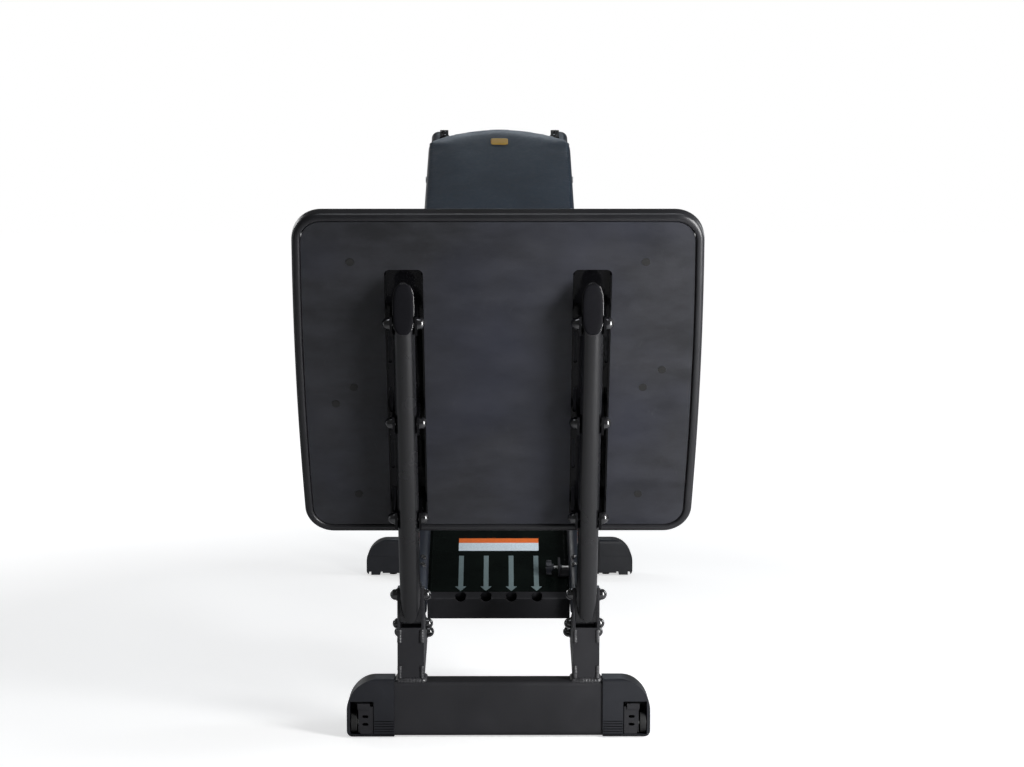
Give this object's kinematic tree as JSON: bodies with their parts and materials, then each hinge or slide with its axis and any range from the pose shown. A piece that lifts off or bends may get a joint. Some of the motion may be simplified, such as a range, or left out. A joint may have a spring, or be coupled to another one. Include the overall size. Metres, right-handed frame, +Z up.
{
  "type": "incline jump trainer",
  "caption": "Free-standing incline jump trainer: a large jump plate on two leaning tubes, twin inclined rails, and a rolling back pad above an adjustable lower stop.",
  "frame": {"origin": "on the floor at the middle of the machine's length and width", "axes": "+Y runs from the jump plate end towards the head end along the floor, +Z up, +X to the right as seen from the jump plate end"},
  "size_m": [0.827, 2.8392, 1.3703],
  "materials": {
    "black_steel": "fine-textured black powder coat",
    "satin_steel": "satin black powder coat",
    "slate_rail": "slate blue satin powder coat",
    "dome_nut": "glossy black oxide",
    "zinc": "zinc plated",
    "moulded": "moulded satin black plastic",
    "panel_gloss": "glossy black with a green tint",
    "arrow_grey": "printed grey-green",
    "plate_charcoal": "charcoal matt, faintly smeared",
    "black_rubber": "matt rubber",
    "board": "black laminated board",
    "pad_vinyl": "slate blue-black vinyl",
    "roller_grey": "hard polyurethane"
  },
  "bodies": {
    "frame": {"front_base_bar": "black_steel", "rear_base_bar": "black_steel", "post_left": "black_steel", "post_right": "black_steel", "rail_shoe_left": "black_steel", "rail_shoe_right": "black_steel", "band_bar": "black_steel", "middle_tie": "black_steel", "top_tie": "black_steel", "rear_leg_left": "black_steel", "rear_leg_right": "black_steel", "leg_brace": "black_steel", "lock_bracket": "black_steel", "wheel_bracket_left": "black_steel", "wheel_bracket_right": "black_steel", "front_cap_left": "moulded", "front_cap_right": "moulded", "rear_cap_left": "moulded", "rear_cap_right": "moulded", "tube_plugs": "moulded", "rail_caps_upper": "moulded", "rail_caps_lower": "moulded", "floor_pads": "black_rubber", "plate_mat": "black_rubber", "plate_plugs": "black_rubber", "rail_bumpers": "black_rubber", "post_bolts": "dome_nut", "channel_bolts": "dome_nut", "leg_bolts": "dome_nut", "bumper_screws": "dome_nut", "wheel_axles": "zinc", "plate_tube_left": "satin_steel", "plate_tube_right": "satin_steel", "plate_channel_left": "satin_steel", "plate_channel_right": "satin_steel", "jump_plate": "plate_charcoal", "plate_rim": "plate_charcoal", "rail_left": "slate_rail", "rail_right": "slate_rail", "band_panel": "panel_gloss", "band_arrows": "arrow_grey"},
    "range_stop": {"stop_beam": "black_steel", "stop_buffers": "black_rubber"},
    "stop_knob_left": {"stop_knob_left": "moulded"},
    "stop_knob_right": {"stop_knob_right": "moulded"},
    "glideboard": {"carriage_channels": "black_steel", "carriage_ties": "black_steel", "roller_axles": "zinc", "glide_board": "board", "back_pad": "pad_vinyl", "band_hooks": "black_steel"},
    "roller_lower_left": {"roller_lower_left": "roller_grey"},
    "roller_lower_right": {"roller_lower_right": "roller_grey"},
    "roller_upper_left": {"roller_upper_left": "roller_grey"},
    "roller_upper_right": {"roller_upper_right": "roller_grey"},
    "wheel_left": {"wheel_left": "black_rubber"},
    "wheel_right": {"wheel_right": "black_rubber"},
    "lock_knob": {"lock_knob": "moulded"}
  },
  "joints": [
    {"name": "range_stop_slide", "type": "slide", "parent": "frame", "child": "range_stop", "axis": [0, 0.9085, 0.4179], "range_m": [-0.75, 0]},
    {"name": "stop_knob_left_turn", "type": "hinge", "parent": "range_stop", "child": "stop_knob_left", "pos_m": [-0.2485, 0.13681, 0.7482], "axis": [1, 0, 0], "range_deg": [0, 360]},
    {"name": "stop_knob_right_turn", "type": "hinge", "parent": "range_stop", "child": "stop_knob_right", "pos_m": [0.2485, 0.13681, 0.7482], "axis": [1, 0, 0], "range_deg": [0, 360]},
    {"name": "glideboard_slide", "type": "slide", "parent": "range_stop", "child": "glideboard", "axis": [0, 0.9085, 0.4179], "range_m": [0, 0.32]},
    {"name": "roller_lower_left_spin", "type": "hinge", "parent": "glideboard", "child": "roller_lower_left", "pos_m": [-0.1885, 0.2417, 0.86095], "axis": [1, 0, 0], "continuous": true},
    {"name": "roller_lower_right_spin", "type": "hinge", "parent": "glideboard", "child": "roller_lower_right", "pos_m": [0.1885, 0.2417, 0.86095], "axis": [1, 0, 0], "continuous": true},
    {"name": "roller_upper_left_spin", "type": "hinge", "parent": "glideboard", "child": "roller_upper_left", "pos_m": [-0.1885, 0.99576, 1.20778], "axis": [1, 0, 0], "continuous": true},
    {"name": "roller_upper_right_spin", "type": "hinge", "parent": "glideboard", "child": "roller_upper_right", "pos_m": [0.1885, 0.99576, 1.20778], "axis": [1, 0, 0], "continuous": true},
    {"name": "wheel_left_spin", "type": "hinge", "parent": "frame", "child": "wheel_left", "pos_m": [-0.3105, -1.07214, 0.031], "axis": [1, 0, 0], "continuous": true},
    {"name": "wheel_right_spin", "type": "hinge", "parent": "frame", "child": "wheel_right", "pos_m": [0.3105, -1.07214, 0.031], "axis": [1, 0, 0], "continuous": true},
    {"name": "lock_knob_turn", "type": "hinge", "parent": "frame", "child": "lock_knob", "pos_m": [0.125, -0.81094, 0.32329], "axis": [1, 0, 0], "range_deg": [0, 360]}
  ],
  "couplings": [
    {"joint": "roller_lower_left_spin", "follows": "glideboard_slide", "rad_per_m": -45.455},
    {"joint": "roller_lower_right_spin", "follows": "glideboard_slide", "rad_per_m": -45.455},
    {"joint": "roller_upper_left_spin", "follows": "glideboard_slide", "rad_per_m": -45.455},
    {"joint": "roller_upper_right_spin", "follows": "glideboard_slide", "rad_per_m": -45.455}
  ]
}
